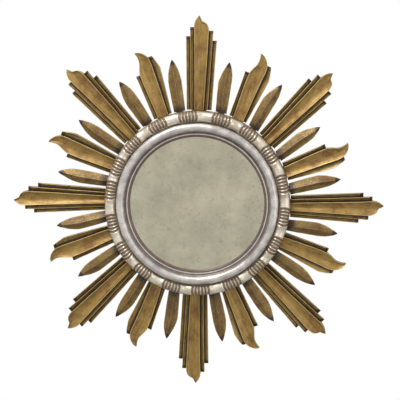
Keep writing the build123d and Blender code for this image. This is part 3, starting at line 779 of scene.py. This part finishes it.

# %% [markdown]
# ## Gilded wood with dark wax
#
# Bronze-gold leaf over red-brown bole, rubbed bright on the arrises, with dark brown wax left
# in the valleys. A painted highlight is laid on the arrises and painted shade in the valleys,
# so three tones show at once: pale edges, olive gold on the hollows, and near-black lines
# between the strips. Long streaks follow the gouge, so that noise runs on the ray's own
# `grain`, which is stretched along it.

# %% Gilded wood


def gilded_wood():
    material, tree, shader = finish("Bronze gold leaf over bole, waxed")
    wax_and_shade = add(tree, "ShaderNodeAttribute", attribute_name="wax_and_shade").outputs["Fac"]
    wear_and_highlight = add(tree, "ShaderNodeAttribute", attribute_name="wear_and_highlight").outputs["Fac"]
    grain = add(tree, "ShaderNodeAttribute", attribute_name="grain").outputs["Vector"]
    place = add(tree, "ShaderNodeTexCoord").outputs["Object"]
    along = add(tree, "ShaderNodeMapping", {"Vector": grain, "Scale": (0.12, 1.0, 1.0)}).outputs["Vector"]
    streak = mottle(tree, along, 2.6, 4.0, 0.6)
    cloud = mottle(tree, place, 22.0, 5.0, 0.62)
    speck = mottle(tree, place, 2.2, 3.0, 0.7)
    gold = blend_colour(tree, stretch(tree, streak, 0.32, 0.70), paint("#7E6030"), paint("#AC8A48"))
    gold = blend_colour(tree, stretch(tree, cloud, 0.45, 0.75, 0.0, 0.7), gold, paint("#BC9C58"))
    bole = stretch(tree, cloud, 0.47, 0.33, 0.0, 0.65)
    gold = blend_colour(tree, bole, gold, paint("#74472A"))
    # Arrises rubbed bright, with a painted highlight laid on them.
    gold = blend_colour(tree, stretch(tree, wear_and_highlight, 0.15, 1.0, 0.0, 0.85), gold, paint("#E4CB88"))
    fray = stretch(tree, speck, 0.3, 0.7, -0.22, 0.22)
    # Dark wax and painted shade: near-black in the valleys, at the feet of walls and on end cuts.
    ragged = add(tree, "ShaderNodeMath", {0: wax_and_shade, 1: fray}, operation="ADD").outputs[0]
    waxed = stretch(tree, ragged, 0.12, 0.75, 0.0, 0.96)
    colour = blend_colour(tree, waxed, gold, paint("#28160A"))
    # The flat back was never gilded: where a face looks at the wall, the stained wood shows.
    normal = add(tree, "ShaderNodeNewGeometry").outputs["True Normal"]
    to_wall = add(tree, "ShaderNodeSeparateXYZ", {"Vector": normal}).outputs["Y"]
    wood = blend_colour(tree, stretch(tree, streak, 0.35, 0.68), paint("#5E4026"), paint("#866240"))
    colour = blend_colour(tree, stretch(tree, to_wall, 0.6, 0.9), colour, wood)
    tree.links.new(colour, shader.inputs["Base Color"])
    tree.links.new(stretch(tree, waxed, 0.0, 0.9, 0.40, 0.05), shader.inputs["Metallic"])
    tree.links.new(stretch(tree, speck, 0.3, 0.7, 0.36, 0.52), shader.inputs["Roughness"])
    height = add(tree, "ShaderNodeMath", {0: streak, 1: speck}, operation="ADD").outputs[0]
    bump = dents(tree, height, 0.35, 0.6)
    tree.links.new(bump, shader.inputs["Normal"])
    return material


gilt = gilded_wood()
for ray in rays:
    ray.data.materials.append(gilt)
print("Gilded:", len(rays), "rays")

# %% [markdown]
# ## Silver leaf
#
# The moulding and the band carry silver leaf that has greyed a little. On the moulding the red
# bole shows beside the fillet; on the band brown wax fills the gouge cuts and the plain hollows
# stay bright. Painted shade joins the wax in the quirks and cuts, and a painted highlight sits
# on the rubbed crests.

# %% Silver leaf


def silver_leaf(name, bright, shade, wax, rubbed, rub_amount):
    material, tree, shader = finish(name)
    wax_and_shade = add(tree, "ShaderNodeAttribute", attribute_name="wax_and_shade").outputs["Fac"]
    wear_and_highlight = add(tree, "ShaderNodeAttribute", attribute_name="wear_and_highlight").outputs["Fac"]
    place = add(tree, "ShaderNodeTexCoord").outputs["Object"]
    cloud = mottle(tree, place, 16.0, 5.0, 0.6)
    speck = mottle(tree, place, 1.8, 3.0, 0.7)
    silver = blend_colour(tree, stretch(tree, cloud, 0.35, 0.68), paint(shade), paint(bright))
    silver = blend_colour(tree, stretch(tree, speck, 0.56, 0.72, 0.0, rub_amount), silver, paint(rubbed))
    # Wax and painted shade darken the quirks, the gouge cuts and the band's walls.
    fray = stretch(tree, speck, 0.3, 0.7, -0.2, 0.2)
    ragged = add(tree, "ShaderNodeMath", {0: wax_and_shade, 1: fray}, operation="ADD").outputs[0]
    waxed = stretch(tree, ragged, 0.2, 1.0, 0.0, 0.92)
    colour = blend_colour(tree, waxed, silver, paint(wax))
    # Rubbed crests, fillet and ridges, with a painted highlight on them.
    colour = blend_colour(tree, stretch(tree, wear_and_highlight, 0.4, 1.0, 0.0, 0.35), colour, paint("#F2EFE8"))
    tree.links.new(colour, shader.inputs["Base Color"])
    tree.links.new(stretch(tree, waxed, 0.0, 0.9, 0.75, 0.1), shader.inputs["Metallic"])
    tree.links.new(stretch(tree, cloud, 0.3, 0.7, 0.26, 0.4), shader.inputs["Roughness"])
    bump = dents(tree, speck, 0.25, 0.4)
    tree.links.new(bump, shader.inputs["Normal"])
    return material


rubbed_silver = silver_leaf("Silver leaf over bole, rubbed, painted shade and highlight", "#DED8D0", "#AAA3A0", "#60443A", "#8E6A58", 0.45)
waxed_silver = silver_leaf("Silver leaf, waxed and shaded gouge cuts, painted highlight", "#EAE2D0", "#C6BAA6", "#6A4E2E", "#9A8262", 0.35)
moulding.data.materials.append(rubbed_silver)
band.data.materials.append(waxed_silver)
print("Silvered: moulding and band")

# %% [markdown]
# ## Antique mirror glass
#
# Old silvering lets go in small grey-brown spots, which restorers call foxing, and it dulls to
# a greenish grey. The plate still mirrors, but softly. The measured plate keeps its shape.

# %% Antique mirror glass


def antique_mirror():
    material, tree, shader = finish("Foxed mirror plate")
    place = add(tree, "ShaderNodeTexCoord").outputs["Object"]
    cloud = mottle(tree, place, 55.0, 5.0, 0.6)
    spots = mottle(tree, place, 6.0, 6.0, 0.72)
    colour = blend_colour(tree, stretch(tree, cloud, 0.30, 0.72), paint("#9E9A84"), paint("#C0BAA2"))
    colour = blend_colour(tree, stretch(tree, spots, 0.55, 0.80, 0.0, 0.8), colour, paint("#706856"))
    tree.links.new(colour, shader.inputs["Base Color"])
    shader.inputs["Metallic"].default_value = 0.9
    tree.links.new(stretch(tree, cloud, 0.3, 0.7, 0.12, 0.22), shader.inputs["Roughness"])
    shader.inputs["Coat Weight"].default_value = 0.3
    shader.inputs["Coat Roughness"].default_value = 0.06
    return material


def dress(node_name, material):
    """Gives a measured solid its finish."""
    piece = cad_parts[node_name]
    piece.data.materials.clear()
    piece.data.materials.append(material)


dress("mirror_plate", antique_mirror())
print("Mirror plate finished")

# %% [markdown]
# ## What the back shows
#
# Behind the carving the wood is plain: a stained ring, a hardboard back held by four brass
# turn buttons, brass screws, a zinc-plated strap with its wire ring, and felt pads.

# %% Plain wood and boards


def plain_wood(name, light, dark, ring_mm, roughness):
    """Sawn or pressed wood: soft bands of grain and fine fibres."""
    material, tree, shader = finish(name)
    place = add(tree, "ShaderNodeTexCoord").outputs["Object"]
    along = add(tree, "ShaderNodeMapping", {"Vector": place, "Scale": (0.15, 1.0, 1.0)}).outputs["Vector"]
    rings = mottle(tree, along, ring_mm, 6.0, 0.65)
    fibre = mottle(tree, along, 1.2, 3.0, 0.6)
    colour = blend_colour(tree, stretch(tree, rings, 0.35, 0.65), paint(dark), paint(light))
    colour = blend_colour(tree, stretch(tree, fibre, 0.55, 0.7, 0.0, 0.4), colour, paint(dark))
    tree.links.new(colour, shader.inputs["Base Color"])
    shader.inputs["Roughness"].default_value = roughness
    bump = dents(tree, fibre, 0.3, 0.4)
    tree.links.new(bump, shader.inputs["Normal"])
    return material


dress("core_ring", plain_wood("Stained limewood", "#7A5836", "#4E341E", 7.0, 0.6))
dress("back_board", plain_wood("Hardboard", "#7B5A3C", "#6A4A2E", 3.0, 0.75))
dress("packing_card", plain_wood("Grey board", "#8C7E66", "#7C6E58", 4.0, 0.85))
print("Boards and ring finished")

# %% Metal fittings and felt


def satin_metal(name, light, dark, roughness):
    """Turned or stamped metal, a little tarnished: soft clouds and fine scratches."""
    material, tree, shader = finish(name)
    place = add(tree, "ShaderNodeTexCoord").outputs["Object"]
    cloud = mottle(tree, place, 4.0, 4.0)
    colour = blend_colour(tree, stretch(tree, cloud, 0.4, 0.65), paint(dark), paint(light))
    tree.links.new(colour, shader.inputs["Base Color"])
    shader.inputs["Metallic"].default_value = 1.0
    tree.links.new(stretch(tree, cloud, 0.3, 0.7, roughness, roughness + 0.15), shader.inputs["Roughness"])
    return material


def wool_felt():
    """Pressed felt: a dull mat of short fibres."""
    material, tree, shader = finish("Brown wool felt")
    place = add(tree, "ShaderNodeTexCoord").outputs["Object"]
    fibre = mottle(tree, place, 0.9, 5.0, 0.7)
    colour = blend_colour(tree, stretch(tree, fibre, 0.35, 0.65), paint("#3A2E24"), paint("#5A4A3A"))
    tree.links.new(colour, shader.inputs["Base Color"])
    shader.inputs["Roughness"].default_value = 0.95
    shader.inputs["Sheen Weight"].default_value = 0.4
    bump = dents(tree, fibre, 0.6, 0.6)
    tree.links.new(bump, shader.inputs["Normal"])
    return material


brass = satin_metal("Tarnished brass", "#C9A765", "#9A7B40", 0.3)
zinc = satin_metal("Zinc-plated steel", "#B9BCC0", "#8D9196", 0.32)
for node_name in ("ray_screws", "button_screws", "strap_screws"):
    dress(node_name, brass)
for number in range(1, 5):
    dress(f"turn_button_{number}", brass)
dress("hanger_strap", zinc)
dress("hanging_ring", zinc)
dress("wall_pads", wool_felt())
print("Fittings finished")

# %% [markdown]
# ## What each carved piece belongs to
#
# A new piece needs to know which body it moves with.
# All carved wood belongs to the frame; only the hanging ring and the turn buttons move.

# %% Bodies and finishes
for piece in rays + [moulding, band]:
    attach(piece, "frame")
print("Riding on the frame:", len(rays) + 2, "pieces")

# %% [markdown]
# ## Studio
#
# The mirror is photographed on plain white. The world is white where the camera looks at it
# and where polished things mirror it, and gives a soft grey light otherwise. One large soft
# lamp stands high and a little to the left, and a much weaker one fills from the right.

# %% World, floor and lamps
world = bpy.data.worlds.new("White studio")
bpy.context.scene.world = world
world.use_nodes = True
tree = world.node_tree
tree.nodes.clear()
path = add(tree, "ShaderNodeLightPath")
to_camera = path.outputs["Is Camera Ray"]
mirrored = path.outputs["Is Glossy Ray"]
through_glass = path.outputs["Is Transmission Ray"]
seen = add(tree, "ShaderNodeMath", {0: to_camera, 1: mirrored}, operation="MAXIMUM")
seen = add(tree, "ShaderNodeMath", {0: seen.outputs[0], 1: through_glass}, operation="MAXIMUM")
soft = add(tree, "ShaderNodeBackground", {"Color": paint("#FFFFFF"), "Strength": 0.28})
white = add(tree, "ShaderNodeBackground", {"Color": paint("#FFFFFF"), "Strength": 1.0})
mix = add(tree, "ShaderNodeMixShader", {0: seen.outputs[0], 1: soft.outputs[0], 2: white.outputs[0]})
add(tree, "ShaderNodeOutputWorld", {"Surface": mix.outputs[0]})

bm = bmesh.new()
bmesh.ops.create_grid(bm, x_segments=1, y_segments=1, size=2.0, matrix=Matrix.Translation((0, -0.4, -1.1)))
floor = finish_mesh("studio_floor", bm)
material, tree, shader = finish("Pale matt floor")
shader.inputs["Base Color"].default_value = paint("#F4F4F2")
shader.inputs["Roughness"].default_value = 0.9
floor.data.materials.append(material)


def lamp(name, place, size, energy):
    """A square soft lamp aimed at the middle of the glass."""
    light = bpy.data.lights.new(name, "AREA")
    light.shape = "SQUARE"
    light.size = size
    light.energy = energy
    lamp_object = bpy.data.objects.new(name, light)
    lamp_object.location = place
    lamp_object.rotation_euler = (-Vector(place)).to_track_quat("-Z", "Y").to_euler()
    bpy.context.scene.collection.objects.link(lamp_object)
    return lamp_object


lamp("key_lamp", (-0.7, -1.3, 2.0), 1.0, 43.0)
lamp("fill_lamp", (1.6, -1.6, 0.2), 1.4, 5.5)
print("Studio ready")

# %% [markdown]
# ## Camera
#
# The photograph was taken a little from above and from the right, from about two and a half
# metres. The lens follows from how large the mirror is in the picture.

# %% Camera
AZIMUTH = 2.53
ELEVATION = 7.70
ROLL = 0.92
DISTANCE = 2.406
VIEW_WIDTH = 0.759          # what the picture spans at the mirror

turn = math.radians(AZIMUTH)
rise = math.radians(ELEVATION)
back = Vector((math.sin(turn) * math.cos(rise), -math.cos(turn) * math.cos(rise), math.sin(rise)))
camera_data = bpy.data.cameras.new("camera")
camera_data.sensor_width = 36.0
camera_data.lens = 36.0 * DISTANCE / VIEW_WIDTH
camera_data.shift_x = 0.0055
camera_data.shift_y = 0.0048
camera = bpy.data.objects.new("camera", camera_data)
camera.location = back * DISTANCE
look = (-back).to_track_quat("-Z", "Y").to_matrix().to_4x4()
camera.matrix_world = Matrix.Translation(back * DISTANCE) @ look @ Matrix.Rotation(math.radians(ROLL), 4, "Z")
bpy.context.scene.collection.objects.link(camera)
bpy.context.scene.camera = camera
bpy.context.scene.view_settings.view_transform = "Standard"
print("Camera at", tuple(round(v, 3) for v in camera.location), "lens", round(camera_data.lens, 1))
